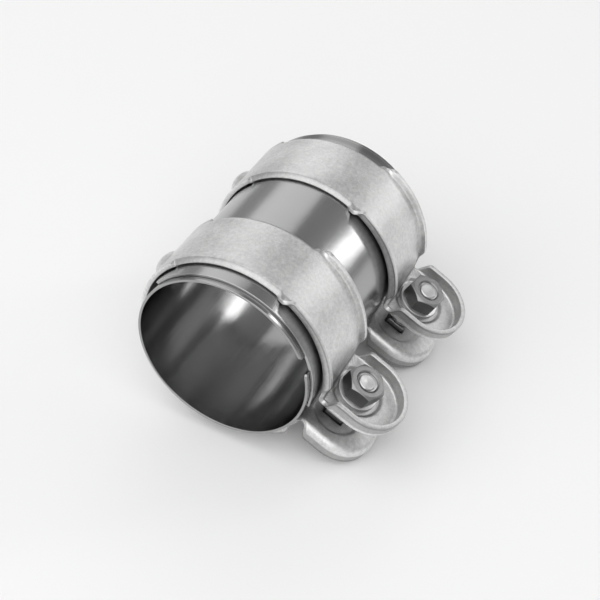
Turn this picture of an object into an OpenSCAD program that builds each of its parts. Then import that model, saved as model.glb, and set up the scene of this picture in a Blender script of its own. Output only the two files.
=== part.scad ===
// Exhaust pipe connector: a slotted sleeve with a cover sheet over the slot,
// drawn tight round two pipe ends by two folded clamp bands.
// The pipe axis is Y. The connector lies as it rests on a flat floor: on the
// rims of both bands and on the rims of both lower lugs. The origin is the
// middle of the bore. In the comments u points from the axis to the lugs,
// b points along the bolts towards the nuts, and angles turn from u to b.

/* [Sleeve] */
// Inner diameter of the sleeve, for a 65 mm pipe
bore_d = 65.5; // [62:0.5:70]
// Thickness of the sleeve and of the cover sheet
sleeve_t = 1.0; // [0.8:0.1:1.2]
// Length of the sleeve
sleeve_l = 98.4; // [92:0.2:110]
// Angle of the sleeve's slot above the plane of the lugs
slot_a = 46.5; // [30:0.5:60]
// Width of the sleeve's slot
slot_w = 6.2; // [3:0.1:8]
// Radius of the corners where the slot meets each mouth
slot_corner_r = 1.6; // [1:0.1:3]

/* [Cover sheet] */
// Distance of the cover sheet's edges from the mouths
cover_inset = 2.1; // [1.5:0.1:4]
// Angle of the cover sheet's lower free edge
cover_a0 = 9; // [4:1:20]
// Angle of the cover sheet's far edge
cover_a1 = 172; // [120:1:185]
// Radius of the cover sheet's free corners
cover_corner_r = 4; // [2:0.5:6]

/* [Clamp bands] */
// Distance between the middles of the two bands
band_spacing = 55.4; // [50:0.2:62]
// Thickness of the band sheet
band_t = 1.8; // [1.5:0.1:2]
// Gap between the bands' inner face and the cover sheet
stand_off = 0.5; // [0.4:0.1:0.8]
// Width over the outward rims
rim_w = 30; // [28:0.5:32]
// Height of the outward rims above the band's face
rim_h = 2.3; // [1.5:0.1:3]
// Width over the inward edges
flex_w = 28.5; // [27:0.5:29.5]
// Angle at which the inward edges start
flex_a0 = 86; // [80:1:95]
// Angle at which the inward edges end
flex_a1 = 158; // [145:1:165]
// Angle over which a rim rises to its full height
jog_a = 5; // [3:0.5:8]
// Angle at which the rim starts to fall towards the lug
rim_end_a = 28; // [26:1:34]
// Angle over which the rim falls to the band's face
rim_fall_a = 9; // [6:1:11]
// Height of the round boss pressed out opposite the lugs
boss_h = 2; // [1:0.1:2.5]
// Radius of the round boss
boss_r = 5; // [4:0.5:6]
// Distance of the boss from the band's middle, towards the front mouth
boss_y = 3.5; // [0:0.5:6]

/* [Lugs] */
// Height of a lug's floor above the parting plane, on the rim side
lug_floor = 8.4; // [7.5:0.1:9]
// Height of a lug's rim above the parting plane
lug_rim = 13.7; // [12:0.1:15]
// Distance of a lug's round end from the pipe axis
lug_reach = 63.2; // [60:0.2:66]
// Depth of the dished seat in a lug's floor
dish_h = 0.7; // [0.4:0.1:0.9]
// Radius of the dished seat at the top of its slope
dish_r = 10.2; // [9.6:0.1:10.8]

/* [Bolt, washer and nut] */
// Room between the washer and the lug's root, which sets the place of the bolt
root_room = 0.15; // [0.1:0.05:2]
// Nominal thread diameter
thread_d = 8; // [7.8:0.1:8]
// Length of the bolt under its head
bolt_l = 25; // [24:0.5:26]
// Diameter of the bolt's flat head
head_d = 16.5; // [15:0.5:17]
// Height of the bolt's head
head_h = 4.4; // [3.5:0.1:4.6]
// Side of the bolt's square neck
neck_w = 8; // [7.9:0.1:8]
// Length of the bolt's square neck
neck_l = 4; // [2.5:0.5:5]
// Outer diameter of the washer
washer_d = 15.8; // [15:0.1:15.8]
// Thickness of the washer
washer_t = 1.6; // [1.4:0.1:1.8]
// Width of the nut across its flats
nut_af = 13; // [12.8:0.1:13]
// Height of the nut
nut_h = 6.8; // [6.4:0.1:7]
// Turn of the front nut
front_nut_turn = 4; // [0:1:59]
// Turn of the rear nut
rear_nut_turn = 22; // [0:1:59]

/* [Hidden] */
$fn = 96;

// Facets of the rolled sheets and of a washer's rounded edge
sheet_fn = 180;
edge_fn = 24;

// Clearance between sheets that lie against each other
sheet_gap = 0.05;

// Radii of the rolled sheets
sleeve_r = bore_d / 2 + sleeve_t;
cover_in = sleeve_r + sheet_gap;
cover_r = cover_in + sleeve_t;
flex_in = cover_r + sheet_gap;
web_in = cover_r + stand_off;
web_out = web_in + band_t;
rim_r = web_out + rim_h;

// Radii of the folds: the sheet's inside and outside at a rim, and at an inward edge
fold_in = 0.9;
fold_out = fold_in + band_t;
flex_fold_in = 1.3;
flex_fold_out = flex_fold_in + band_t;
// Steps of each fold's arc
fold_n = 6;
// Bevel of a rim's sheared edge
edge_r = 0.3;
// Height by which a cutter clears a face, and length by which it reaches past what it cuts
clear = 0.02;
over = 1;

// Root of a lug, where the band turns outwards
root_r = 0.9;
root_b = lug_floor + root_r;
root_u = sqrt(pow(web_out + root_r, 2) - pow(root_b, 2));
root_a = asin(root_b / (web_out + root_r));
rim_foot_a = rim_end_a - rim_fall_a;
// Distance of the root's strip from the rims' faces, and depth of its faces in the sheet's
root_inset = 1.3;
root_w = rim_w - 2 * root_inset;
sink = 0.04;
// Steps of the arc that the strip shares with the ring, and angle by which it reaches
// into the ring past the rim's foot
root_n = 3;
root_over_a = 2;

// Middle of a lug's round end, the bolt's axis, and the slope at which the lug's rim starts
lug_u = lug_reach - rim_w / 2;
bolt_u = root_u + root_room + washer_d / 2;
lug_start = 1.4;
lug_full = 4.4;
lug_start_u = root_u + lug_start;
lug_full_u = root_u + lug_full;

// Levels along the bolt
seat = lug_floor - dish_h;
head_seat = -lug_floor - dish_h;

// Clearances round the thread in the lug, the washer and the nut, and across the neck
hole_gap = 0.5;
washer_gap = 0.2;
thread_gap = 0.05;
neck_gap = 0.4;
hole_r = thread_d / 2 + hole_gap;
washer_hole_r = thread_d / 2 + washer_gap;
thread_r = thread_d / 2 - thread_gap;
neck_hole_w = neck_w + neck_gap;

// Nut's bore and chamfers, bolt's tip and the rounding of its head
nut_bore_r = thread_d / 2;
nut_mouth_h = 0.5;
nut_mouth_r = nut_bore_r + nut_mouth_h;
nut_face_share = 0.95;
nut_face_r = nut_face_share * nut_af / 2;
nut_chamfer_a = 30;
nut_cone_r = nut_face_r + nut_h / tan(nut_chamfer_a);
tip_h = 0.9;
head_edge_r = 2;

// Run of the dish's slope, and height by which its solid reaches past the floor's face
dish_slope = 1.2;
dish_over = 0.5;

// Length of the cover sheet, and the angle by which its rolled blank is longer at each
// edge before the edges and corners are cut
cover_l = sleeve_l - 2 * cover_inset;
cover_spare = 3;
// Times the last step of a corner's arc is repeated past the sheet's end
edge_run = 5;

// Ball whose cap is the boss
boss_r_ball = (pow(boss_r, 2) + pow(boss_h, 2)) / (2 * boss_h);

// Angle by which the connector leans so that rims and lower lugs touch the floor
lug_dist = norm([lug_reach, lug_rim]);
lie_a = asin(rim_r / lug_dist) - atan2(lug_rim, lug_reach);

// Places one thing at each clamp: side -1 is the front and 1 is the rear
module at_clamp(side) translate([0, side * band_spacing / 2, 0]) children();

// Turns the assembly from the frame of the lugs to the way it lies
module lying() rotate([0, lie_a, 0]) children();

// Sweeps a section of radius against width round the pipe axis
module sweep(a0, a1) rotate([90, 0, 0]) rotate_extrude(angle = a1 - a0, start = a0) children();

// Extrudes an outline of u against b across the width w
module across(w) rotate([90, 0, 0]) linear_extrude(w, center = true) children();

// Point of the u, b plane at an angle and radius
function polar(a, r) = r * [cos(a), sin(a)];

// Points of an arc round a middle, with n steps
function arc(middle, r, a0, a1, n) = [for (i = [0:n]) middle + polar(a0 + (a1 - a0) * i / n, r)];

// Outline that is the same on both sides of the x axis, from the points of its upper side
function both_sides(points) = concat(points,
    [for (i = [len(points) - 1:-1:0]) [points[i][0], -points[i][1]]]);

// Upper side of a sheet whose edges are folded up as rims: faces at x0, free ends at x1
function rimmed_points(x0, x1, w) = let (middle = [x0 + fold_out, w / 2 - fold_out]) concat(
    arc(middle, fold_out, 180, 90, fold_n),
    [[x1 - edge_r, w / 2], [x1, w / 2 - edge_r],
     [x1, w / 2 - band_t + edge_r], [x1 - edge_r, w / 2 - band_t]],
    arc(middle, fold_in, 90, 180, fold_n));
module rimmed_section(x0, x1, w) polygon(both_sides(rimmed_points(x0, x1, w)));

// Sheet whose two edges turn in until they meet the cover sheet
module flex_section() {
    middle = [web_out - flex_fold_out, flex_w / 2 - flex_fold_out];
    depth = flex_in - middle[0];
    polygon(both_sides(concat(
        arc(middle, flex_fold_out, 0, acos(depth / flex_fold_out), fold_n),
        arc(middle, flex_fold_in, acos(depth / flex_fold_in), 0, fold_n))));
}

// Plain sheet of width w
module plain_section(w) translate([web_in, -w / 2]) square([band_t, w]);

// Cutter that makes a rim rise from r at angle a0 to above its full height at a1
module rim_slope(a0, a1, r) across(rim_w + over) polygon([
    polar(a0, r), polar(a1, rim_r + clear), polar(a1, rim_r + rim_h), polar(a0, rim_r + rim_h)]);

// Ring of the band: two rimmed stretches beside the lugs, two stretches with inward
// edges and a plain back
module ring() {
    for (m = [0, 1]) mirror([0, 0, m]) {
        difference() {
            sweep(rim_foot_a, flex_a0) rimmed_section(web_in, rim_r, rim_w);
            rim_slope(rim_foot_a, rim_end_a, web_out + clear);
            rim_slope(flex_a0, flex_a0 - jog_a, web_out + clear);
        }
        sweep(flex_a0, flex_a1) flex_section();
    }
    sweep(flex_a1, 360 - flex_a1) plain_section(flex_w);
}

// Root of a lug: a strip that leaves the ring's sheet and bends into the floor. Its faces
// lie a hair inside the sheet's, so that its two ends sink into the ring and the floor.
module root() across(root_w) polygon(concat(
    arc([0, 0], web_in + sink, rim_foot_a + root_over_a, root_a, root_n),
    arc([root_u, root_b], root_r + band_t - sink, 180 + root_a, 270, fold_n),
    [[root_u + over, lug_floor - band_t + sink], [root_u + over, lug_floor - sink]],
    arc([root_u, root_b], root_r + sink, 270, 180 + root_a, fold_n),
    arc([0, 0], web_out - sink, root_a, rim_foot_a + root_over_a, root_n)));

// Half section of a lug, distance from its middle against height: floor, fold and rim
module lug_half_section() {
    points = rimmed_points(lug_floor - band_t, lug_rim, rim_w);
    polygon(concat([[0, lug_floor - band_t]], [for (p = points) [p[1], p[0]]], [[0, lug_floor]]));
}

// Lug pressed as a cup: straight sides from the root and a round end
module lug_cup() {
    translate([lug_u, 0, 0]) rotate_extrude(angle = 180, start = -90) lug_half_section();
    difference() {
        translate([root_u, 0, 0]) rotate([90, 0, 90]) linear_extrude(lug_u - root_u)
            for (m = [0, 1]) mirror([m, 0]) lug_half_section();
        across(rim_w + over) polygon([[root_u - over, lug_floor + clear], [lug_start_u, lug_floor + clear],
            [lug_full_u, lug_rim + clear], [root_u - over, lug_rim + clear]]);
    }
}

// Dished seat under a level: a shallow cone on the bolt's axis that gets narrower
// downwards, stops short of the root bend and reaches a little above the level
module dish(top) intersection() {
    translate([bolt_u, 0, top]) {
        translate([0, 0, -dish_h]) cylinder(h = dish_h, r1 = dish_r - dish_slope, r2 = dish_r);
        cylinder(h = dish_over, r = dish_r);
    }
    translate([root_u, -rim_w / 2, top - dish_h]) cube([rim_w, rim_w, dish_h + dish_over]);
}

// Upper lug: its seat is dished towards the parting plane and has a round hole
module upper_lug() difference() {
    union() {
        lug_cup();
        root();
        dish(lug_floor - band_t);
    }
    dish(lug_floor);
    translate([bolt_u, 0, 0]) cylinder(h = lug_floor, r = hole_r);
}

// Lower lug: its seat is dished away from the parting plane and has a square hole
module lower_lug() difference() {
    union() {
        mirror([0, 0, 1]) {
            lug_cup();
            root();
        }
        dish(-lug_floor);
    }
    dish(band_t - lug_floor);
    translate([bolt_u, 0, head_seat]) cube([neck_hole_w, neck_hole_w, 2 * (band_t + over)], center = true);
}

// Cap of the boss's ball, smaller by the sheet's thickness inside, down to a plane under the face
module boss_cap(shrink, depth) intersection() {
    translate([boss_r_ball - web_out - boss_h, -boss_y, 0]) sphere(boss_r_ball - shrink);
    translate([-web_out - boss_h, -boss_y - boss_r, -boss_r]) cube([boss_h + depth, 2 * boss_r, 2 * boss_r]);
}

// One clamp band, a single folded strip with its two lugs
module band(side) color("lightgray") lying() at_clamp(side) {
    difference() {
        union() {
            ring();
            boss_cap(0, band_t / 2);
        }
        boss_cap(band_t, band_t + stand_off);
    }
    upper_lug();
    lower_lug();
}

// Sleeve: a rolled tube with a slot along its whole length
module sleeve() color("silver") lying() difference() {
    rotate([90, 0, 0]) cylinder(h = sleeve_l, r = sleeve_r, center = true, $fn = sheet_fn);
    rotate([90, 0, 0]) cylinder(h = sleeve_l + over, d = bore_d, center = true, $fn = sheet_fn);
    rotate([0, -slot_a, 0]) outwards() slot_outline();
}

// Extrudes an outline of y against width outwards through the sheets
module outwards() translate([bore_d / 4, 0, 0]) rotate([90, 0, 90]) linear_extrude(bore_d / 2) children();

// Points along a sheet's edge at y: its two ends round off away from it, and the last step
// of each arc runs on past the sheet's end
function edge_points(l, y, r) = let (steps = arc([l / 2 - r, y + r], r, 270, 360, fold_n),
    past = steps[fold_n] + edge_run * (steps[fold_n] - steps[fold_n - 1]),
    right = concat([for (i = [0:fold_n - 1]) steps[i]], [past]))
    concat([for (i = [fold_n:-1:0]) [-right[i][0], right[i][1]]], right);

// Outline of the slot, flared by a rounded corner on each side of each mouth
module slot_outline() polygon(both_sides(edge_points(sleeve_l, slot_w / 2, slot_corner_r)));

// Waste beyond an edge of the cover sheet and outside its rounded corners
module edge_waste() {
    points = edge_points(cover_l, 0, cover_corner_r);
    polygon(concat(points, [for (i = [len(points) - 1, 0]) [points[i][0], -2 * cover_spare]]));
}

// Cover sheet: rolled over the slot, with rounded corners at both long edges
module cover_sheet() color("gainsboro") lying() difference() {
    sweep(cover_a0 - cover_spare, cover_a1 + cover_spare)
        translate([cover_in, -cover_l / 2]) square([sleeve_t, cover_l]);
    rotate([0, -cover_a0, 0]) outwards() edge_waste();
    rotate([0, -cover_a1, 0]) mirror([0, 0, 1]) outwards() edge_waste();
}

// Bolt with a flat round head and a square neck, its tip pointing up
module bolt(side) color("darkgray") lying() at_clamp(side) translate([bolt_u, 0, head_seat]) {
    translate([0, 0, -head_h]) rotate_extrude() head_profile();
    translate([0, 0, neck_l / 2]) cube([neck_w, neck_w, neck_l], center = true);
    cylinder(h = bolt_l - tip_h, r = thread_r);
    translate([0, 0, bolt_l - tip_h]) cylinder(h = tip_h, r1 = thread_r, r2 = thread_r - tip_h);
}

// Half outline of the head: flat with a rounded outer edge
module head_profile() {
    square([head_d / 2 - head_edge_r, head_h]);
    translate([0, head_edge_r]) square([head_d / 2, head_h - head_edge_r]);
    translate([head_d / 2 - head_edge_r, head_edge_r]) circle(head_edge_r);
}

// Washer with lightly rounded edges
module washer(side) color("silver") lying() at_clamp(side) translate([bolt_u, 0, seat])
    rotate_extrude() {
        translate([washer_hole_r, 0]) square([washer_d / 2 - washer_hole_r - edge_r, washer_t]);
        translate([washer_hole_r, edge_r]) square([washer_d / 2 - washer_hole_r, washer_t - 2 * edge_r]);
        for (z = [edge_r, washer_t - edge_r])
            translate([washer_d / 2 - edge_r, z]) circle(edge_r, $fn = edge_fn);
    }

// Hexagon nut with chamfered corners and a chamfered bore
module nut(side, turn) color("gray") lying() at_clamp(side)
    translate([bolt_u, 0, seat + washer_t]) rotate([0, 0, turn]) difference() {
        intersection() {
            cylinder(h = nut_h, d = nut_af / cos(30), $fn = 6);
            cylinder(h = nut_h, r1 = nut_cone_r, r2 = nut_face_r);
            cylinder(h = nut_h, r1 = nut_face_r, r2 = nut_cone_r);
        }
        translate([0, 0, -over]) cylinder(h = nut_h + 2 * over, r = nut_bore_r);
        translate([0, 0, nut_h - nut_mouth_h]) cylinder(h = nut_mouth_h, r1 = nut_bore_r, r2 = nut_mouth_r);
        cylinder(h = nut_mouth_h, r1 = nut_mouth_r, r2 = nut_bore_r);
    }

sleeve();
cover_sheet();
band(-1);  // front_band
band(1);  // rear_band
bolt(-1);  // front_bolt
bolt(1);  // rear_bolt
washer(-1);  // front_washer
washer(1);  // rear_washer
nut(-1, front_nut_turn);  // front_nut
nut(1, rear_nut_turn);  // rear_nut
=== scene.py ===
# Exhaust pipe connector: slotted sleeve, cover sheet and two folded clamp bands with
# their bolts, washers and nuts. Lengths are in millimetres until a mesh is made.
# The pipe axis is Y. Shapes are worked out in the frame of the lugs: u points from the
# axis to the lugs, b along the bolts towards the nuts, and angles turn from u to b.
import math

import bmesh
import bpy
import numpy as np
from mathutils import Matrix, Vector


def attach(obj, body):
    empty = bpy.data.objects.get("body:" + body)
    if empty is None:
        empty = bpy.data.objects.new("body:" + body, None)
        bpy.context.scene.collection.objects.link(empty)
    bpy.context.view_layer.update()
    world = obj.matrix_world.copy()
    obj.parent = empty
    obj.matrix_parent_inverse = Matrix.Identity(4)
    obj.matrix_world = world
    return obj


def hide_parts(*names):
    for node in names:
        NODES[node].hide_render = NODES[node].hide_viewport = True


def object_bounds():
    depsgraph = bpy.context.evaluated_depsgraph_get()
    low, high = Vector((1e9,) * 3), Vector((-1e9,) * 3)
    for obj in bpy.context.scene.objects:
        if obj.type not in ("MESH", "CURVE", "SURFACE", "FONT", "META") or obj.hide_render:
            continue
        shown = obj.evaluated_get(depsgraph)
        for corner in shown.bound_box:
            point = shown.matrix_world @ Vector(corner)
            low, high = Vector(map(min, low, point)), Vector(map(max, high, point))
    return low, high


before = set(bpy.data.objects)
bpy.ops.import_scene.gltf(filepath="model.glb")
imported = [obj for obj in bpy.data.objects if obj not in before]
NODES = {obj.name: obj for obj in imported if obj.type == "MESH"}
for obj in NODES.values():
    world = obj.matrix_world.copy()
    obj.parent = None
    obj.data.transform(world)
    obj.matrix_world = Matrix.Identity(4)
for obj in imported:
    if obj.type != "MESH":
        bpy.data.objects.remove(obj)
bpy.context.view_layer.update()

# Sleeve and cover sheet, with the same sizes as the construction's
SLEEVE_L, SLEEVE_IN, SLEEVE_OUT = 98.4, 32.75, 33.75
SLOT_A, SLOT_W, SLOT_CORNER = 46.5, 6.2, 1.6
COVER_L, COVER_IN, COVER_OUT = 94.2, 33.80, 34.80
COVER_A0, COVER_A1, COVER_CORNER = 9.0, 172.0, 4.0

# Clamp bands: sheet, web, rims and turned-in stretch, lugs, and seats with their holes
SPACING = 55.4
BAND_T, WEB_IN, RIM_R = 1.8, 35.3, 39.4
RIM_W, FLEX_W = 30.0, 28.5
LUG_FLOOR, LUG_RIM, LUG_REACH = 8.4, 13.7, 63.2
DISH_H, HOLE_R, NECK_HOLE = 0.7, 4.5, 8.4
SEAT, HEAD_SEAT = LUG_FLOOR - DISH_H, -LUG_FLOOR - DISH_H

# Bolts, washers and nuts, and the bolts' distance from the pipe's axis
BOLT_U = 44.894
HEAD_D, HEAD_H, NECK_W, NECK_L, BOLT_L = 16.5, 4.4, 8.0, 4.0, 25.0
WASHER_D, WASHER_HOLE, WASHER_T = 15.8, 8.4, 1.6
NUT_AF, NUT_H, PITCH = 13.0, 6.8, 1.25
NUT_TURN = {"front": 4.0, "rear": 22.0}
SIDES = {"front": -SPACING / 2, "rear": SPACING / 2}

# Lean of the connector as it lies on its rims
LEAN = math.asin(RIM_R / math.hypot(LUG_REACH, LUG_RIM)) - math.atan2(LUG_RIM, LUG_REACH)
TO_METRES = 0.001
TO_WORLD = Matrix.Rotation(LEAN, 4, "Y") @ Matrix.Diagonal((TO_METRES, TO_METRES, TO_METRES, 1))

# Camera, measured from the photograph in the frame of the lugs drawn 30 degrees down: its
# turn and rise in degrees, focal length and middle in pixels, and distance in metres
PICTURE_PX, FOCAL_PX = 600, 1316.27
MIDDLE_X_PX, MIDDLE_Y_PX = 285.407, 278.45
DRAWN_LEAN, VIEW_TURN, VIEW_RISE, VIEW_DISTANCE = 30, 27.249, 40.042, 0.491755

# Floor's half width in metres and its tone
FLOOR_HALF, FLOOR_TONE = 4, 0.92
# Soft lights aimed at the middle: name, place and size in metres, and power in watts
LIGHTS = [("overhead", (-0.1, -0.9, 1.3), (3.2, 2.6), 35),
          ("back_right", (0.60, 0.68, 0.42), (0.11, 0.6), 0.8),
          ("back_left", (-0.42, 0.68, 0.60), (0.7, 0.6), 1.05)]
# Surroundings, from the horizon (0) to straight above (1): a grey room that is darker
# overhead, so that polished metal shows contrast
ROOM_TONES = [(0.0, 0.46), (0.5, 0.48), (0.62, 0.41), (0.80, 0.28), (1.0, 0.34)]


# New object in the scene
def link(name, data):
    thing = bpy.data.objects.new(name, data)
    bpy.context.scene.collection.objects.link(thing)
    return thing


def make_camera():
    az, el = math.radians(VIEW_TURN), math.radians(VIEW_RISE)
    turn = Matrix.Rotation(LEAN - math.radians(DRAWN_LEAN), 3, "Y")
    back = turn @ Vector((math.sin(az) * math.cos(el), -math.cos(az) * math.cos(el), math.sin(el)))
    right = turn @ Vector((math.cos(az), math.sin(az), 0))
    up = back.cross(right)
    data = bpy.data.cameras.new("camera")
    data.sensor_width = 36
    data.lens = FOCAL_PX / PICTURE_PX * data.sensor_width
    data.shift_x = 0.5 - MIDDLE_X_PX / PICTURE_PX
    data.shift_y = MIDDLE_Y_PX / PICTURE_PX - 0.5
    data.clip_start, data.clip_end = 0.01, 20
    camera = link("camera", data)
    facing = Matrix((right, up, back)).transposed().to_4x4()
    camera.matrix_world = Matrix.Translation(back * VIEW_DISTANCE) @ facing
    bpy.context.scene.camera = camera


# Node tree helpers: gives an input a number or joins it to a socket
def feed(tree, socket, value):
    if isinstance(value, (int, float)):
        socket.default_value = value
    else:
        tree.links.new(value, socket)


# Adds a node, sets its values and joins its inputs
def add(tree, kind, values=None, links=None, **settings):
    node = tree.nodes.new(kind)
    for key, value in settings.items():
        setattr(node, key, value)
    for key, value in (values or {}).items():
        node.inputs[key].default_value = value
    for key, socket in (links or {}).items():
        tree.links.new(socket, node.inputs[key])
    return node


def add_socket(tree, name, kind, default=None, out=False):
    socket = tree.interface.new_socket(name, in_out="OUTPUT" if out else "INPUT", socket_type=kind)
    if default is not None:
        socket.default_value = default


def make_stage():
    low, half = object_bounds()[0].z, FLOOR_HALF
    mesh = bpy.data.meshes.new("floor")
    corners = [(-half, -half, low), (half, -half, low), (half, half, low), (-half, half, low)]
    mesh.from_pydata(corners, [], [(0, 1, 2, 3)])
    floor = link("floor", mesh)
    material = bpy.data.materials.new("floor")
    material.use_nodes = True
    shader = material.node_tree.nodes["Principled BSDF"]
    shader.inputs["Base Color"].default_value = (FLOOR_TONE, FLOOR_TONE, FLOOR_TONE, 1)
    shader.inputs["Roughness"].default_value = 0.9
    mesh.materials.append(material)


def make_world():
    world = bpy.data.worlds.new("studio")
    bpy.context.scene.world = world
    world.use_nodes = True
    tree = world.node_tree
    direction = add(tree, "ShaderNodeTexCoord").outputs["Generated"]
    height = add(tree, "ShaderNodeSeparateXYZ", links={0: direction}).outputs["Z"]
    ramp = add(tree, "ShaderNodeValToRGB", links={0: height})
    while len(ramp.color_ramp.elements) < len(ROOM_TONES):
        ramp.color_ramp.elements.new(0.5)
    for stop, (place, value) in zip(ramp.color_ramp.elements, ROOM_TONES):
        stop.position, stop.color = place, (value, value, value, 1)
    background = tree.nodes["Background"]
    tree.links.new(ramp.outputs[0], background.inputs["Color"])
    background.inputs["Strength"].default_value = 1.0


def make_lights():
    for name, place, size, power in LIGHTS:
        data = bpy.data.lights.new(name, "AREA")
        data.shape = "RECTANGLE"
        data.size, data.size_y = size
        data.energy = power
        light = link(name, data)
        light.location = place
        light.rotation_euler = (-Vector(place)).to_track_quat("-Z", "Y").to_euler()
    bpy.context.scene.view_settings.view_transform = "Standard"


# Points closer than this, in millimetres, are merged
MERGE = 2e-4


# Mesh of a closed shell in millimetres, with its doubles merged and its faces outwards.
# The painted light and wear, one number a vertex, is how much lighter or darker the colour is painted
# there: mostly painted shade and highlights, with lighter cut edges.
def new_mesh(name, verts, faces, painted_light_and_wear):
    mesh = bpy.data.meshes.new(name)
    mesh.from_pydata([tuple(v) for v in verts], [], faces)
    mesh.attributes.new("painted_light_and_wear", "FLOAT", "POINT").data.foreach_set("value", [float(t) for t in painted_light_and_wear])
    work = bmesh.new()
    work.from_mesh(mesh)
    bmesh.ops.remove_doubles(work, verts=work.verts, dist=MERGE)
    bmesh.ops.recalc_face_normals(work, faces=work.faces)
    work.to_mesh(mesh)
    work.free()
    return mesh


# Finish of a node, by the last word of its name
def finish_of(node):
    return FINISHES[node.split("_")[-1]]


# A finished piece: smooth except at creases, its creases eased by a bevel, in place, and
# riding and standing for its node
def place_piece(name, mesh, node, body, edge, place=Matrix(), crease=35, edge_steps=2):
    mesh.transform(TO_WORLD @ place)
    mesh.polygons.foreach_set("use_smooth", [True] * len(mesh.polygons))
    mesh.set_sharp_from_angle(angle=math.radians(crease))
    piece = link(name, mesh)
    bevel = piece.modifiers.new("edges", "BEVEL")
    bevel.width = edge * TO_METRES
    bevel.segments = edge_steps
    bevel.limit_method = "ANGLE"
    bevel.angle_limit = math.radians(crease)
    bevel.harden_normals = True
    bevel.use_clamp_overlap = False
    mesh.materials.clear()
    mesh.materials.append(finish_of(node))
    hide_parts(node)
    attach(piece, body)


# Faces of a grid of rows by cols vertices that starts at a number
def grid_faces(rows, cols, start=0, flip=False, closed=False):
    faces = []
    for i in range(rows - 1):
        row, above = start + i * cols, start + (i + 1) * cols
        for j in range(cols if closed else cols - 1):
            k = (j + 1) % cols
            quad = (row + j, row + k, above + k, above + j)
            faces.append(tuple(reversed(quad)) if flip else quad)
    return faces


# Outer and inner grids joined at their two long edges, and at their two ends unless these
# stay open for another shape to go on there
def shell(outer, inner, ends=True):
    rows, cols = len(outer), len(outer[0])
    verts = [p for row in outer for p in row] + [p for row in inner for p in row]
    far = rows * cols
    faces = grid_faces(rows, cols) + grid_faces(rows, cols, far, flip=True)
    for i in range(rows - 1):
        for j in (0, cols - 1):
            a, b = i * cols + j, (i + 1) * cols + j
            faces.append((a, b, far + b, far + a))
    for i in (0, rows - 1) if ends else ():
        for j in range(cols - 1):
            a, b = i * cols + j, i * cols + j + 1
            faces.append((a, b, far + b, far + a))
    return verts, faces


# Closed loops of points, each joined to the next and the last one to the first
def ring_shell(rings):
    n, last = len(rings[0]), (len(rings) - 1) * len(rings[0])
    faces = grid_faces(len(rings), n, closed=True)
    for k in range(n):
        after = (k + 1) % n
        faces.append((k, after, last + after, last + k))
    return [p for ring in rings for p in ring], faces


# Rings about b of a profile of (radius, height) points
def turned(profile, steps):
    angles = [2 * math.pi * k / steps for k in range(steps)]
    return [[(r * math.cos(a), r * math.sin(a), z) for a in angles] for r, z in profile]


# Closed loops of points, each joined to the next, with a flat cap on the first and last
def capped(rings):
    n, last = len(rings[0]), (len(rings) - 1) * len(rings[0])
    faces = grid_faces(len(rings), n, closed=True)
    faces += [tuple(range(n)), tuple(range(last, last + n))]
    return [p for ring in rings for p in ring], faces


# Steps of a rolled sheet round each corner, along its run and along the pipe's axis
CORNER_STEPS, RUN_STEPS = 8, 240
AXIS_STEPS = [-1, -0.985] + list(np.linspace(-0.95, 0.95, 39)) + [0.985, 1]
# Sheared edges lighter, as bare cut metal and a painted highlight; painted dark reflection from here to the
# rear mouth
EDGE_WEAR_AND_HIGHLIGHT, REAR_PAINTED_SHADE, REAR_Y = 0.15, -0.35, 42.5


# Rolled sheet with rounded corners along its two long edges
def rolled_sheet(r_in, r_out, length, a0, a1, corner):
    mid = (r_in + r_out) / 2
    run = math.radians(a1 - a0) * mid
    near = [corner * (1 - math.cos(math.pi / 2 * k / CORNER_STEPS)) for k in range(CORNER_STEPS)]
    steps = near + list(np.linspace(corner, run - corner, RUN_STEPS)) + [run - x for x in reversed(near)]
    outer, inner, painted_light_and_wear = [], [], []
    for s in steps:
        edge = min(s, run - s)
        half = length / 2
        if edge < corner:
            half -= corner - math.sqrt(max(0, corner ** 2 - (corner - edge) ** 2))
        a = math.radians(a0) + s / mid
        for r, grid in ((r_out, outer), (r_in, inner)):
            grid.append([(r * math.cos(a), t * half, r * math.sin(a)) for t in AXIS_STEPS])
        for t in AXIS_STEPS:
            sheared = abs(t) == 1 or edge == 0
            # Cut edges get bare-metal lightening and a painted highlight; past REAR_Y a painted dark
            # reflection
            painted_light_and_wear.append(EDGE_WEAR_AND_HIGHLIGHT if sheared else REAR_PAINTED_SHADE if t * half > REAR_Y else 0)
    return *shell(outer, inner), painted_light_and_wear * 2


def make_sleeve():
    gap = math.degrees(SLOT_W / 2 / SLEEVE_OUT)
    mesh = new_mesh("sleeve_tube", *rolled_sheet(
        SLEEVE_IN, SLEEVE_OUT, SLEEVE_L, SLOT_A + gap, SLOT_A - gap + 360, SLOT_CORNER))
    place_piece("sleeve_tube", mesh, "sleeve", "connector", edge=0.2)


def make_cover():
    mesh = new_mesh("slot_cover", *rolled_sheet(
        COVER_IN, COVER_OUT, COVER_L, COVER_A0, COVER_A1, COVER_CORNER))
    place_piece("slot_cover", mesh, "cover_sheet", "connector", edge=0.2)


# Value between keys of (place, value), eased at each key
def eased(keys, x):
    if x <= keys[0][0]:
        return keys[0][1]
    for (x0, v0), (x1, v1) in zip(keys, keys[1:]):
        if x <= x1:
            t = (x - x0) / (x1 - x0)
            return v0 + (v1 - v0) * t * t * (3 - 2 * t)
    return keys[-1][1]


# Clamp band. Its middle surface is a strip of stations along a path and, at each end, a
# cup-shaped lug. A station's section is a flat web and an edge that bends up or down.
MID = BAND_T / 2
WEB_MID, FLOOR_MID = WEB_IN + MID, LUG_FLOOR - MID
FOLD_R, FLEX_FOLD_R, ROOT_R = 1.8, 2.2, 1.8
FOLD_Y = RIM_W / 2 - FOLD_R - MID
FLEX_Y = FLEX_W / 2 - FLEX_FOLD_R - MID
HALF_COLS, EDGE_COLS, ROOT_STEPS = 20, 10, 8
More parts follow.
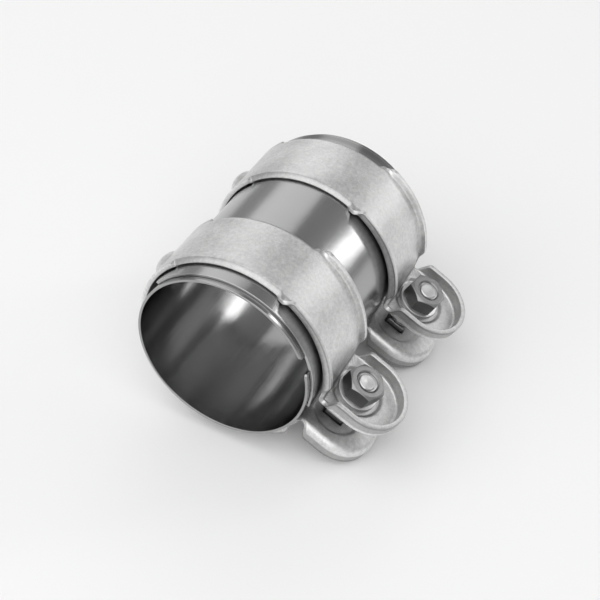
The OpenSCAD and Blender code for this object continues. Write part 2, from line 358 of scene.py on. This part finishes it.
# Root, where the ring bends out into a lug. Its bend is tighter by this share of the
# height that the lug's floor is raised there.
ROOT_B = FLOOR_MID + ROOT_R
ROOT_U = math.sqrt((WEB_MID + ROOT_R) ** 2 - ROOT_B ** 2)
ROOT_A = math.degrees(math.asin(ROOT_B / (WEB_MID + ROOT_R)))
ROOT_TIGHTER = 0.6
# Middle of a lug's round end
LUG_U = LUG_REACH - RIM_W / 2
# Runs of the edge along the sheet: in the ring's rims; in the lugs' rims, which stay a
# little low to keep inside the construction's box; and at the roots, at the pass between
# rim and turned-in stretch, along that stretch and at the plain back
RIM_LOW = 0.08
RIM_RUN = FOLD_R * math.pi / 2 + RIM_R - WEB_MID - FOLD_R
LUG_RUN = FOLD_R * math.pi / 2 + LUG_RIM - RIM_LOW - FLOOR_MID - FOLD_R
ROOT_RUN, PASS_RUN, FLEX_RUN, PLAIN_RUN = 1.3, 3.0, 2.4, 2
# Least bend of an edge, per millimetre, that is drawn as an arc
LEAST_BEND = 1e-3
# Stations as stretches of (start, end, step): by angle along the ring, closest where the
# edge changes, and by u along a lug's sides; and the steps round a lug's end
RING_STEPS = [(ROOT_A + 2.5, 28, 1), (28, 79, 1.5), (79, 91, 0.4), (91, 155, 1.5), (155, 159, 0.3),
              (159, 179.5, 0.8)]
SIDE_STEPS = [(ROOT_U, ROOT_U + 5, 0.5), (ROOT_U + 5.2, LUG_U, 1.0)]
END_STEPS = 36
# Angles along the ring where the outward rim ends, the edge passes nearly flat, the
# turned-in stretch starts and ends, and the plain back starts
RIM_END, PASS, FLEX_START, FLEX_END, PLAIN = 79.5, 86.5, 90, 156.5, 158
# Half width of the web, bend of the edge and its run, by angle along the ring
PASS_Y, PASS_BEND = 11.9, -0.06
WEB_KEYS = [(RIM_END, FOLD_Y), (PASS, PASS_Y), (FLEX_START, FLEX_Y), (FLEX_END, FLEX_Y),
            (PLAIN, FLEX_W / 2 - PLAIN_RUN)]
BEND_KEYS = [(RIM_END, 1 / FOLD_R), (PASS, PASS_BEND), (FLEX_START, -1 / FLEX_FOLD_R),
             (FLEX_END, -1 / FLEX_FOLD_R), (PLAIN, 0)]
RUN_KEYS = [(15, ROOT_RUN), (19, 1.7), (27, RIM_RUN), (RIM_END, RIM_RUN), (PASS, PASS_RUN),
            (FLEX_START, FLEX_RUN), (FLEX_END, FLEX_RUN), (PLAIN, PLAIN_RUN)]
# Run of a lug's rim, by u
LUG_RUN_KEYS = [(ROOT_U, ROOT_RUN), (ROOT_U + 0.8, 1.6), (ROOT_U + 4.4, LUG_RUN)]
# Share of the dish's depth, by distance from the bolt, between its lip and its foot
DISH_LIP, DISH_FOOT = 9.1, 10.2
DISH_KEYS = [(8.8, 1), (DISH_LIP, 0.94), (DISH_FOOT, 0.08), (10.6, 0)]
# Distances from the bolt of the floor's rings, outside the hole's edge, and the least
# room between the last of them and the floor's edge
FLOOR_RINGS = [6.5, 8.0, 8.8, 8.95, 9.1, 9.3, 9.6, 9.9, 10.2, 10.4, 10.6, 11.0]
FLOOR_ROOM = 0.25
# Boss on the plain back: its middle, radius and height, and how its sides fall
BOSS_Y, BOSS_R, BOSS_H, BOSS_FALL = -3.5, 5, 2, 1.3

# Painted light by column of an edge, from the web to the sheared end, on the face away from the
# pipe and on the back. A rim's face has painted shade in its crease, a cup's face a painted
# highlight on its foot and painted shade on its wall, and the back of both a painted shadow
# line under the end. The turned-in stretch's face gets painted shade towards its end.
RIM_FACE = [0] * 2 + [-0.22] * 3 + [0] * 5 + [EDGE_WEAR_AND_HIGHLIGHT]
RIM_BACK = [-0.15] * 9 + [-0.55, -0.25]
FLEX_FACE = [0] + [0.05] * 2 + [-0.28] * 8
FLEX_BACK = [0] * (EDGE_COLS + 1)
CUP_FACE = [0] * 3 + [0.15] + [-0.25] * 6 + [EDGE_WEAR_AND_HIGHLIGHT]
CUP_BACK = [-0.1] * 2 + [0.05] * 3 + [-0.38] * 4 + [-0.65, -0.3]
# Painted shade in the roots' creases and on the dish's slope, and the painted shade round the
# bolt on the back of the lower lug's floor, by distance from the bolt up to the floor's edge
ROOT_PAINTED_SHADE, SLOPE_PAINTED_SHADE = -0.3, -0.3
FLOOR_END = 12.3
SHADE_KEYS = [(HOLE_R, -0.6), (8.5, -0.4), (FLOOR_END, -0.2)]


# Points (out of the sheet, across, direction) of the edge, from the web outwards
def edge_profile(web, bend, run):
    points = []
    for k in range(1, EDGE_COLS + 1):
        along = run * k / EDGE_COLS
        if abs(bend) > LEAST_BEND:
            arc = min(along, math.pi / 2 / abs(bend))
            a = bend * arc
            n, y = (1 - math.cos(a)) / bend, math.sin(a) / bend
        else:
            arc, a = along, bend * along
            n, y = bend * along * along / 2, along
        n += math.sin(a) * (along - arc)
        y += math.cos(a) * (along - arc)
        points.append((n, web + y, a))
    return points


# Section across the whole width, from -y to +y
def section(web, bend, run):
    side = [(0, web * k / HALF_COLS, 0) for k in range(HALF_COLS + 1)] + edge_profile(web, bend, run)
    return [(n, -y, -a) for n, y, a in reversed(side[1:])] + side


# Height of a lug's seat over its floor at a distance from the bolt's axis: the upper
# lug's is dished (up is 1) and the lower lug's is raised (up is -1)
def seat_height(far, up):
    return -up * DISH_H * eased(DISH_KEYS, far)


# Point and normal in the u, b plane at a step of the root's bend, from a lug's floor that
# is raised by h at this width to the ring
def root_bend(step, h):
    r = ROOT_R - ROOT_TIGHTER * max(h, 0)
    b0 = FLOOR_MID + h + r
    u0 = math.sqrt((WEB_MID + r) ** 2 - b0 ** 2)
    a = 1.5 * math.pi - (math.pi / 2 - math.atan2(b0, u0)) * step / ROOT_STEPS
    c, s = math.cos(a), math.sin(a)
    return (u0 + r * c, b0 + r * s), (-c, -s)


def root_raise(y, up):
    return seat_height(math.hypot(BOLT_U - ROOT_U, y), up)


# Places along stretches of (start, end, step)
def places(stretches):
    return [x for start, end, step in stretches for x in np.arange(start, end, step)]


# Stations of the ring and both roots, from the upper lug to the lower lug: the step of the
# root's bend or None, the angle, and the side
def strip_stations():
    upper = [(k, ROOT_A, 1) for k in range(ROOT_STEPS + 1)] + [(None, a, 1) for a in places(RING_STEPS)]
    return upper + [(None, 180, 1)] + [(k, a, -1) for k, a, _ in reversed(upper)]


def boss_height(u, b, y):
    d = math.hypot(b, y - BOSS_Y) / BOSS_R
    return BOSS_H * math.sqrt(1 - d * d) ** BOSS_FALL if d < 1 and u < 0 else 0


# Rows of points and the painted light of the strip's face and back
def strip_points():
    face, back, face_tone, back_tone = [], [], [], []
    for step, a, up in strip_stations():
        bend = eased(BEND_KEYS, a)
        cut = section(eased(WEB_KEYS, a), bend, eased(RUN_KEYS, a))
        c, s = math.cos(math.radians(a)), math.sin(math.radians(a))
        rows = ([], [])
        for n, y, tilt in cut:
            if step is None:
                (u, b), (nu, nb) = (WEB_MID * c, WEB_MID * s), (c, s)
            else:
                (u, b), (nu, nb) = root_bend(step, root_raise(y, up))
            n += boss_height(u, b, y)
            for row, t in zip(rows, (MID, -MID)):
                d = n + t * math.cos(tilt)
                row.append((u + nu * d, y - t * math.sin(tilt), up * (b + nb * d)))
        face.append(rows[0])
        back.append(rows[1])
        edges = (FLEX_FACE, FLEX_BACK) if bend < 0 else (RIM_FACE, RIM_BACK)
        for tones, edge in zip((face_tone, back_tone), edges):
            for j in range(len(cut)):
                painted_light_and_wear = edge[max(0, abs(j - len(cut) // 2) - HALF_COLS)]
                tones.append(painted_light_and_wear if step is None else min(painted_light_and_wear, ROOT_PAINTED_SHADE))
    return face, back, face_tone + back_tone


# Stations of a lug's rim, right round from the -y side to the +y side: the place where
# the floor ends, the direction outwards and the run of the rim
def rim_stations():
    side = places(SIDE_STEPS)
    out = [((u, -FOLD_Y), (0, -1), eased(LUG_RUN_KEYS, u)) for u in side]
    for k in range(END_STEPS + 1):
        a = math.radians(-90 + 180 * k / END_STEPS)
        c, s = math.cos(a), math.sin(a)
        out.append(((LUG_U + FOLD_Y * c, FOLD_Y * s), (c, s), LUG_RUN))
    return out + [((u, FOLD_Y), (0, 1), eased(LUG_RUN_KEYS, u)) for u in reversed(side)]


# Face and back of a lug's rim, in the frame where the rim points up from the floor
def lug_rim(rim):
    face, back = [], []
    for (u, y), (du, dy), run in rim:
        edge = [(0, 0, 0)] + edge_profile(0, 1 / FOLD_R, run)
        for grid, t in ((face, MID), (back, -MID)):
            row = []
            for n, x, a in edge:
                out = x - t * math.sin(a)
                row.append((u + du * out, y + dy * out, n + t * math.cos(a)))
            grid.append(row)
    return face, back


# Closed loop where a lug's floor ends, along the rim and the strip's end: place and height
def floor_edge(rim, up):
    loop = [(u, y, 0) for (u, y), _, _ in rim]
    for k in range(1, 2 * HALF_COLS):
        y = FOLD_Y * (1 - k / HALF_COLS)
        height = root_raise(y, up)
        loop.append((root_bend(0, height)[0][0], y, height))
    return loop


# Face and back of a lug's floor, ring by ring from the hole to the floor's edge. The
# upper lug's hole is round and the lower lug's is square.
def lug_floor(rim, up):
    face, back = [], []
    loop = floor_edge(rim, up)
    for ring in [HOLE_R] + FLOOR_RINGS + [None]:
        for grid, t in ((face, MID), (back, -MID)):
            row = []
            for u, y, height in loop:
                far = math.hypot(u - BOLT_U, y)
                c, s = (u - BOLT_U) / far, y / far
                if ring is None:
                    d, h = far, height
                elif ring == HOLE_R and up < 0:
                    d, h = NECK_HOLE / 2 / max(abs(c), abs(s)), DISH_H
                else:
                    squeeze = min(1, (far - FLOOR_ROOM - HOLE_R) / (FLOOR_RINGS[-1] - HOLE_R))
                    d = HOLE_R + (ring - HOLE_R) * squeeze
                    h = seat_height(d, up)
                row.append((BOLT_U + c * d, s * d, t + h))
            grid.append(row)
    return face, back


# Painted light of a lug: its rim's face and back, and its floor's face and back
def lug_tones(rim_rows, floor_cols, up):
    tones = CUP_FACE * rim_rows + CUP_BACK * rim_rows
    for on_back in (False, True):
        for ring in [HOLE_R] + FLOOR_RINGS + [FLOOR_END]:
            shade = eased(SHADE_KEYS, ring) if on_back and up < 0 else 0
            slope = SLOPE_PAINTED_SHADE if not on_back and DISH_LIP < ring <= DISH_FOOT else 0
            tones += [shade + slope] * floor_cols
    return tones


# Whole band as one shell. A lug's rim ends in a free edge at its last column, and a lug's
# floor, whose rows are closed, at its first row, round the hole.
def band_mesh(name, y_shift):
    strip_face, strip_back, painted_light_and_wear = strip_points()
    verts, faces = shell(strip_face, strip_back, ends=False)
    rim = rim_stations()
    for up in (1, -1):
        floor = lug_floor(rim, up)
        for (face, back), is_floor in ((lug_rim(rim), False), (floor, True)):
            start, rows, cols = len(verts), len(face), len(face[0])
            far = rows * cols
            verts += [(u, y, up * (FLOOR_MID + n)) for row in face + back for u, y, n in row]
            faces += grid_faces(rows, cols, start, closed=is_floor)
            faces += grid_faces(rows, cols, start + far, flip=True, closed=is_floor)
            if is_floor:
                edge = [start + j % cols for j in range(cols + 1)]
            else:
                edge = [start + i * cols + cols - 1 for i in range(rows)]
            faces += [(a, b, b + far, a + far) for a, b in zip(edge, edge[1:])]
        painted_light_and_wear += lug_tones(len(rim), len(floor[0][0]), up)
    return new_mesh(name, [(x, y + y_shift, z) for x, y, z in verts], faces, painted_light_and_wear)


def make_band(side):
    name = side + "_clamp_band"
    place_piece(name, band_mesh(name, SIDES[side]), side + "_band", "connector",
                edge=0.3, edge_steps=3, crease=50)


# Thread ridge that winds round b, as a Geometry Nodes tree. Base is the ridge's width on
# the side of the axis and Crest its width on the far side.
def thread_tree():
    tree = bpy.data.node_groups.new("thread_ridge", "GeometryNodeTree")
    add_socket(tree, "Geometry", "NodeSocketGeometry")
    for name, value in (("Radius", 3.3), ("Start", 0.0), ("Length", 20.0), ("Pitch", PITCH),
                        ("Height", 0.7), ("Base", 1.1), ("Crest", 0.2), ("Phase", 0.0)):
        add_socket(tree, name, "NodeSocketFloat", value)
    add_socket(tree, "Material", "NodeSocketMaterial")
    add_socket(tree, "Geometry", "NodeSocketGeometry", out=True)
    inp = tree.nodes.new("NodeGroupInput").outputs
    turns = add(tree, "ShaderNodeMath", operation="DIVIDE", links={0: inp["Length"], 1: inp["Pitch"]})
    spiral = add(tree, "GeometryNodeCurveSpiral", values={"Resolution": 40}, links={
        "Rotations": turns.outputs[0], "Height": inp["Length"],
        "Start Radius": inp["Radius"], "End Radius": inp["Radius"]})
    profile = add(tree, "GeometryNodeCurvePrimitiveQuadrilateral", mode="TRAPEZOID",
                  values={"Offset": 0}, links={
                      "Height": inp["Height"], "Bottom Width": inp["Base"], "Top Width": inp["Crest"]})
    upright = add(tree, "GeometryNodeSetCurveNormal", mode="Z_UP", links={"Curve": spiral.outputs[0]})
    factor = add(tree, "GeometryNodeSplineParameter").outputs["Factor"]
    tail = add(tree, "ShaderNodeMapRange", links={"Value": factor},
               values={"From Min": 1.0, "From Max": 0.985, "To Min": 0.05})
    swept = add(tree, "GeometryNodeCurveToMesh", values={"Fill Caps": True}, links={
        "Curve": upright.outputs[0], "Profile Curve": profile.outputs[0]})
    if "Scale" in swept.inputs:
        tree.links.new(tail.outputs[0], swept.inputs["Scale"])
    lift = add(tree, "ShaderNodeCombineXYZ", links={2: inp["Start"]})
    turn = add(tree, "ShaderNodeCombineXYZ", links={2: inp["Phase"]})
    placed = add(tree, "GeometryNodeTransform", links={
        "Geometry": swept.outputs[0], "Translation": lift.outputs[0], "Rotation": turn.outputs[0]})
    both = add(tree, "GeometryNodeJoinGeometry", links={0: placed.outputs[0]})
    tree.links.new(inp["Geometry"], both.inputs[0])
    real = add(tree, "GeometryNodeRealizeInstances", links={0: both.outputs[0]})
    finished = add(tree, "GeometryNodeSetMaterial", links={
        "Geometry": real.outputs[0], "Material": inp["Material"]})
    add(tree, "NodeGroupOutput", links={0: finished.outputs[0]})
    return tree


# Mesh in millimetres with a thread ridge added to it
def with_thread(mesh, **values):
    base = link(mesh.name + "_base", mesh)
    modifier = base.modifiers.new("thread", "NODES")
    modifier.node_group = THREAD
    for item in THREAD.interface.items_tree:
        if item.in_out == "INPUT" and item.name in values:
            modifier[item.identifier] = values[item.name]
    result = bpy.data.meshes.new_from_object(base.evaluated_get(bpy.context.evaluated_depsgraph_get()))
    bpy.data.objects.remove(base)
    return result


def at_bolt(side, b, turn=0.0):
    return Matrix.Translation((BOLT_U, SIDES[side], b)) @ Matrix.Rotation(math.radians(turn), 4, "Z")


# Bolt's head: radius and steps of its rounded lower edge, width of the ring inside that
# edge, chamfer at the seat, radius of the tiny caps that close it, and its steps round
HEAD_ROUND, ROUND_STEPS, HEAD_RING = 2, 8, 0.6
HEAD_EDGE, CAP_R, HEAD_STEPS = 0.25, 0.05, 96
# Square neck: radius and steps of its upright edges, how deep it starts inside the head,
# and how near its end it narrows, and to what share
NECK_ROUND, NECK_STEPS, NECK_SINK = 0.6, 4, 0.5
NECK_END, NECK_SHARE = 0.4, 0.9
# Core of the shank: radius, how deep it starts inside the head, steps round, and its
# turned tip as radius and depth under the bolt's end
CORE_R, CORE_SINK, CORE_STEPS = 3.3, 1, 64
CORE_TIP = [(CORE_R, 0.8), (3.2, 0.3), (2.9, 0), (2.3, 0), (0.1, 0.15)]
# Start of the thread's ridge over the bolt's head seat and over the nut's foot, and the
# depth under the bolt's end where its ridge stops
BOLT_RIDGE, NUT_RIDGE, RIDGE_END = NECK_L - 0.8, 0.5, 0.3
# Painted shade on the square neck, and on the nuts' sides and bores and the washers' rims
NECK_PAINTED_SHADE, SIDE_PAINTED_SHADE = -0.75, -0.5


# Flat round head with a rounded lower edge
def bolt_head():
    r, flat_r = HEAD_D / 2, HEAD_D / 2 - HEAD_ROUND
    profile = [(CAP_R, -HEAD_H), (flat_r - HEAD_RING, -HEAD_H)]
    for a in np.linspace(0, math.pi / 2, ROUND_STEPS + 1):
        profile.append((flat_r + HEAD_ROUND * math.sin(a), -HEAD_H + HEAD_ROUND - HEAD_ROUND * math.cos(a)))
    profile += [(r, -HEAD_EDGE), (r - HEAD_EDGE, 0), (CAP_R, 0)]
    return capped(turned(profile, HEAD_STEPS))


# Square neck with rounded upright edges, from inside the head to the shank
def bolt_neck():
    ring, middle = [], NECK_W / 2 - NECK_ROUND
    for k, (x, y) in enumerate([(1, 1), (-1, 1), (-1, -1), (1, -1)]):
        for i in range(NECK_STEPS + 1):
            a = math.radians(90 * k + 90 * i / NECK_STEPS)
            ring.append((x * middle + NECK_ROUND * math.cos(a), y * middle + NECK_ROUND * math.sin(a)))
    levels = ((-NECK_SINK, 1), (NECK_L - NECK_END, 1), (NECK_L, NECK_SHARE))
    return capped([[(x * share, y * share, z) for x, y in ring] for z, share in levels])


# Core of the shank, under the thread's ridge
def bolt_core():
    profile = [(CORE_R, -CORE_SINK)] + [(r, BOLT_L - depth) for r, depth in CORE_TIP]
    return capped(turned(profile, CORE_STEPS))


def make_bolt(side):
    verts, faces, painted_light_and_wear = [], [], []
    for (v, f), t in ((bolt_head(), 0), (bolt_neck(), NECK_PAINTED_SHADE), (bolt_core(), 0)):
        faces += [tuple(i + len(verts) for i in face) for face in f]
        verts += v
        painted_light_and_wear += [t] * len(v)
    mesh = with_thread(new_mesh("bolt", verts, faces, painted_light_and_wear), Radius=3.52, Start=BOLT_RIDGE,
                       Length=BOLT_L - BOLT_RIDGE - RIDGE_END, Height=0.8, Base=1.12, Crest=0.2,
                       Material=FINISHES["bolt"])
    place_piece(side + "_bolt_threaded", mesh, side + "_bolt", "connector", edge=0.1,
                place=at_bolt(side, HEAD_SEAT), crease=25)


# Washer: its chamfer, which on the rim has a corner at this share of it, the painted highlight
# line on its upper edge, and its steps round
WASHER_EDGE, WASHER_SHARE, WASHER_HIGHLIGHT, WASHER_STEPS = 0.3, 0.3, 0.1, 120


def make_washer(side):
    r0, r1, c, step = WASHER_HOLE / 2, WASHER_D / 2, WASHER_EDGE, WASHER_EDGE * WASHER_SHARE
    profile = [(r0, c), (r0 + c, 0), (r1 - c, 0), (r1 - step, step), (r1, c), (r1, WASHER_T - c),
               (r1 - step, WASHER_T - step), (r1 - c, WASHER_T), (r0 + c, WASHER_T), (r0, WASHER_T - c)]
    by_ring = [0] * 4 + [SIDE_PAINTED_SHADE] * 2 + [0, WASHER_HIGHLIGHT, 0, 0]
    painted_light_and_wear = [t for t in by_ring for _ in range(WASHER_STEPS)]
    mesh = new_mesh("washer", *ring_shell(turned(profile, WASHER_STEPS)), painted_light_and_wear)
    place_piece(side + "_flat_washer", mesh, side + "_washer", side + "_washer", edge=0.08,
                place=at_bolt(side, SEAT), crease=25)


# Nut: steps along each flat, bore and countersunk mouths, radius and slope of the cone that
# chamfers the corners, and depth of the edge under it
FLAT_STEPS, BORE_R, MOUTH_R, MOUTH_DEPTH = 14, 4.0, 4.55, 0.6
CONE_R, CONE_SLOPE, SIDE_EDGE = 0.95 * NUT_AF / 2, math.tan(math.radians(30)), 0.3


# Closed shell of the hexagon and its bore, and its painted shade on the sides and bore
def nut_shell():
    turns = [60 * k + 60 * i / FLAT_STEPS for k in range(6) for i in range(FLAT_STEPS)]
    hexagon = [NUT_AF / 2 / math.cos(math.radians((a % 60) - 30)) for a in turns]
    cone = [(r - CONE_R) * CONE_SLOPE for r in hexagon]

    def circle(r, z):
        return [(r, z) for _ in turns]

    rings = [circle(BORE_R, NUT_H - MOUTH_DEPTH), circle(MOUTH_R, NUT_H), circle(CONE_R, NUT_H),
             [(r, NUT_H - z) for r, z in zip(hexagon, cone)],
             [(r, NUT_H - z - SIDE_EDGE) for r, z in zip(hexagon, cone)],
             [(r, z + SIDE_EDGE) for r, z in zip(hexagon, cone)],
             [(r, z) for r, z in zip(hexagon, cone)],
             circle(CONE_R, 0), circle(MOUTH_R, 0), circle(BORE_R, MOUTH_DEPTH)]
    points = [[(r * math.cos(math.radians(a)), r * math.sin(math.radians(a)), z)
               for a, (r, z) in zip(turns, ring)] for ring in rings]
    by_ring = [SIDE_PAINTED_SHADE, 0, 0, 0, SIDE_PAINTED_SHADE, SIDE_PAINTED_SHADE, 0, 0, 0, SIDE_PAINTED_SHADE]
    return *ring_shell(points), [t for t in by_ring for _ in turns]


# The nut's ridge is widest at the bore's wall and lies in the groove of the bolt's ridge
def make_nut(side):
    rise = SEAT + WASHER_T + NUT_RIDGE - HEAD_SEAT - BOLT_RIDGE
    phase = 2 * math.pi * (rise / PITCH - 0.5) - math.radians(NUT_TURN[side])
    mesh = with_thread(new_mesh("nut", *nut_shell()), Radius=3.85, Start=NUT_RIDGE,
                       Length=NUT_H - 2 * NUT_RIDGE, Height=0.5, Base=0.3, Crest=0.9, Phase=phase,
                       Material=FINISHES["nut"])
    place_piece(side + "_hex_nut", mesh, side + "_nut", side + "_nut", edge=0.14,
                place=at_bolt(side, SEAT + WASHER_T, NUT_TURN[side]), crease=20)


# Shader group with named inputs (name, kind, value) and outputs (name, kind)
def shader_group(name, inputs, outputs):
    tree = bpy.data.node_groups.new(name, "ShaderNodeTree")
    for label, kind, value in inputs:
        add_socket(tree, label, kind, value)
    for label, kind in outputs:
        add_socket(tree, label, kind, out=True)
    return tree, tree.nodes.new("NodeGroupInput").outputs, tree.nodes.new("NodeGroupOutput").inputs


def maths(tree, operation, a, b):
    node = add(tree, "ShaderNodeMath", operation=operation)
    feed(tree, node.inputs[0], a)
    feed(tree, node.inputs[1], b)
    return node.outputs[0]


def noise(tree, vector, scale, detail=2.0, rough=0.5):
    node = add(tree, "ShaderNodeTexNoise", links={"Vector": vector},
               values={"Detail": detail, "Roughness": rough})
    feed(tree, node.inputs["Scale"], scale)
    return node.outputs["Fac"]


COLOR, VALUE, VECTOR = "NodeSocketColor", "NodeSocketFloat", "NodeSocketVector"
# Clouds and patches per metre, the weights of clouds and grain beside patches, and the
# middle of the three together
CLOUD_SCALE, PATCH_SCALE = 70, 700
CLOUD_WEIGHT, GRAIN_WEIGHT, MIX_MIDDLE = 0.8, 0.6, 1.2
# Heights of the three reliefs in metres
WAVE_H, PATCH_H, GRAIN_H = 0.0012, 0.0002, 0.00005


# Uneven bright metal: clouds, patches and fine grain in colour, gloss and relief. Stretch
# below 1 draws the grain out along the pipe's axis, as rolling does.
def metal_group():
    tree, inp, out = shader_group("bright_metal", [
        ("Base", COLOR, (0.6, 0.6, 0.6, 1)), ("Mottle", VALUE, 0.1), ("Gloss spread", VALUE, 0.1),
        ("Roughness", VALUE, 0.3), ("Grain relief", VALUE, 0.3), ("Patch relief", VALUE, 0.2),
        ("Wave relief", VALUE, 0.2), ("Stretch", VALUE, 1.0), ("Grain scale", VALUE, 2200.0)],
        [("Color", COLOR), ("Roughness", VALUE), ("Normal", VECTOR)])
    coords = add(tree, "ShaderNodeTexCoord").outputs["Object"]
    drawn = add(tree, "ShaderNodeCombineXYZ", values={0: 1.0, 2: 1.0}, links={1: inp["Stretch"]})
    scaled = add(tree, "ShaderNodeVectorMath", operation="MULTIPLY", links={0: coords, 1: drawn.outputs[0]})
    vector = scaled.outputs[0]
    cloud = noise(tree, coords, CLOUD_SCALE, detail=3.0)
    patch = noise(tree, vector, PATCH_SCALE, detail=4.0, rough=0.6)
    grain = noise(tree, vector, inp["Grain scale"])
    fine = maths(tree, "ADD", patch, maths(tree, "MULTIPLY", grain, GRAIN_WEIGHT))
    mixed = maths(tree, "ADD", maths(tree, "MULTIPLY", cloud, CLOUD_WEIGHT), fine)
    mixed = maths(tree, "SUBTRACT", mixed, MIX_MIDDLE)
    # Painted light and wear from the mesh, mostly painted shade and highlights, scale the colour
    painted_light_and_wear = add(tree, "ShaderNodeAttribute", attribute_name="painted_light_and_wear").outputs["Fac"]
    mottled = maths(tree, "ADD", 1.0, maths(tree, "MULTIPLY", mixed, inp["Mottle"]))
    shade = maths(tree, "MULTIPLY", mottled, maths(tree, "ADD", 1.0, painted_light_and_wear))
    colour = add(tree, "ShaderNodeVectorMath", operation="SCALE", links={0: inp["Base"], "Scale": shade})
    tree.links.new(colour.outputs[0], out["Color"])
    rough = maths(tree, "ADD", inp["Roughness"], maths(tree, "MULTIPLY", mixed, inp["Gloss spread"]))
    tree.links.new(rough, out["Roughness"])
    normal = None
    for height, strength, distance in ((cloud, "Wave relief", WAVE_H), (patch, "Patch relief", PATCH_H),
                                       (grain, "Grain relief", GRAIN_H)):
        bump = add(tree, "ShaderNodeBump", values={"Distance": distance},
                   links={"Height": height, "Strength": inp[strength]})
        if normal:
            tree.links.new(normal, bump.inputs["Normal"])
        normal = bump.outputs[0]
    tree.links.new(normal, out["Normal"])
    return tree


METAL = metal_group()


def metal(name, base, **values):
    material = bpy.data.materials.new(name)
    material.use_nodes = True
    tree = material.node_tree
    shader = tree.nodes["Principled BSDF"]
    shader.inputs["Metallic"].default_value = 1.0
    group = add(tree, "ShaderNodeGroup", node_tree=METAL)
    group.inputs["Base"].default_value = (*base, 1)
    for key, value in values.items():
        group.inputs[key.replace("_", " ")].default_value = value
    for source, target in (("Color", "Base Color"), ("Roughness", "Roughness"), ("Normal", "Normal")):
        tree.links.new(group.outputs[source], shader.inputs[target])
    return material


FINISHES = {
    "sleeve": metal("polished_sleeve", (0.33, 0.33, 0.33), Mottle=0.10, Roughness=0.16, Gloss_spread=0.10,
                    Grain_relief=0.10, Patch_relief=0.05, Wave_relief=0.04, Stretch=0.06),
    "sheet": metal("rolled_cover", (0.39, 0.39, 0.392), Mottle=0.08, Roughness=0.2, Gloss_spread=0.08,
                   Grain_relief=0.16, Patch_relief=0.06, Wave_relief=0.05, Stretch=0.06),
    "band": metal("satin_band", (0.74, 0.74, 0.737), Mottle=0.60, Roughness=0.46, Gloss_spread=0.22,
                  Grain_relief=0.55, Patch_relief=0.30, Wave_relief=0.28),
    "bolt": metal("zinc_bolt", (0.62, 0.62, 0.62), Mottle=0.2, Roughness=0.34, Gloss_spread=0.2,
                  Grain_relief=0.35, Patch_relief=0.15, Wave_relief=0.1),
    "washer": metal("zinc_washer", (0.66, 0.66, 0.66), Mottle=0.16, Roughness=0.36, Gloss_spread=0.2,
                    Grain_relief=0.3, Patch_relief=0.15, Wave_relief=0.1),
    "nut": metal("zinc_nut", (0.32, 0.32, 0.32), Mottle=0.2, Roughness=0.34, Gloss_spread=0.2,
                 Grain_relief=0.3, Patch_relief=0.15, Wave_relief=0.1),
}
THREAD = thread_tree()


# Every node gets its finish, also where a finer piece replaces it
def finish_nodes():
    for node, piece in NODES.items():
        piece.data.materials.clear()
        piece.data.materials.append(finish_of(node))


make_camera()
make_stage()
make_world()
make_lights()
finish_nodes()
make_sleeve()
make_cover()
for side in SIDES:
    make_band(side)
    make_bolt(side)
    make_washer(side)
    make_nut(side)
